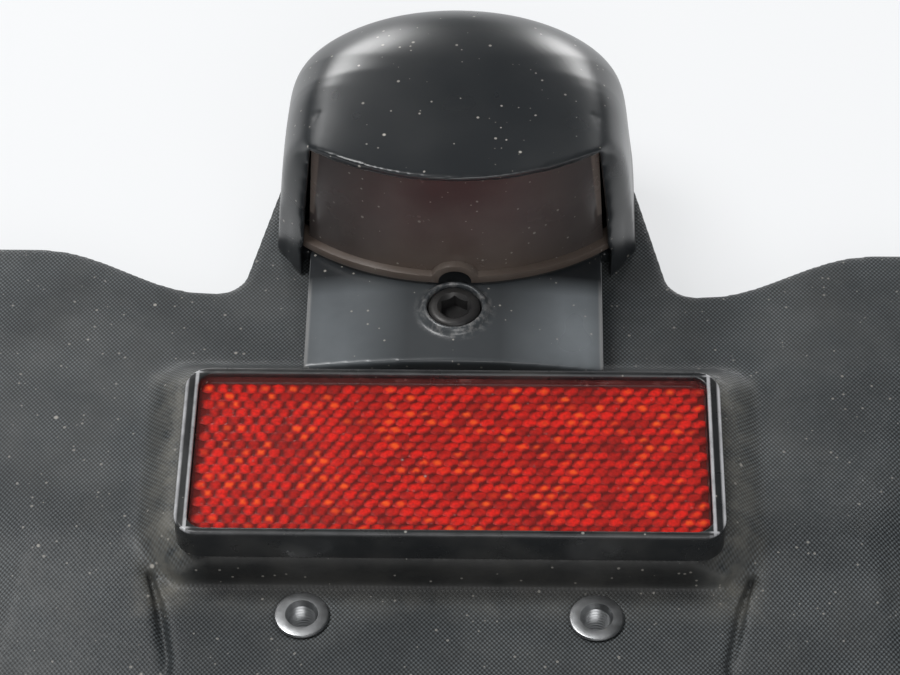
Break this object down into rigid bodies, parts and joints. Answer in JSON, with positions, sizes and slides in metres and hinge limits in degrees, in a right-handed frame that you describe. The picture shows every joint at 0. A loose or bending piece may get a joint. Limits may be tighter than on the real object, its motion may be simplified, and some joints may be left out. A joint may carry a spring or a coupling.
{
  "type": "license plate holder",
  "caption": "Black plastic motorcycle plate holder with wings, a hooded plate lamp with a bowed smoke window and a red reflector on a raised pad.",
  "frame": {"origin": "middle of the four threaded inserts on the back, on the plane of their faces", "axes": "+X across the width to the right as seen from the front, +Y up along the face towards the lamp, +Z out of the face"},
  "size_m": [0.214, 0.1685, 0.054],
  "materials": {
    "bracket_black": "fine woven grain, satin, dusty",
    "lamp_black": "smooth semi-gloss, fine dust",
    "smoke_clear": "smoke-brown clear plastic",
    "clear_glass": "clear",
    "tungsten": "dull wire",
    "socket_black": "moulded",
    "rubber_black": "matte",
    "brass": "turned",
    "zinc_steel": "zinc plated, dull",
    "black_steel": "blackened steel, lightly dusty",
    "frame_black": "smooth, worn light along the rim",
    "red_clear": "red clear plastic with prisms behind a smooth face"
  },
  "bodies": {
    "root": {"bracket": "bracket_black", "rear_inserts": "brass", "plate_rivet_nuts": "zinc_steel", "lamp_housing": "lamp_black", "lamp_lens": "smoke_clear", "lens_gasket": "rubber_black", "bulb_glass": "clear_glass", "bulb_filament": "tungsten", "bulb_socket": "socket_black", "socket_seal": "rubber_black", "socket_terminals": "brass", "socket_boot": "rubber_black", "lamp_screw": "black_steel", "lamp_screw_washer": "zinc_steel", "lamp_nut_washer": "zinc_steel", "lamp_nut": "zinc_steel", "reflector_frame": "frame_black", "reflector_lens": "red_clear", "reflector_studs": "zinc_steel", "reflector_washers": "zinc_steel", "reflector_nuts": "zinc_steel"}
  },
  "joints": []
}
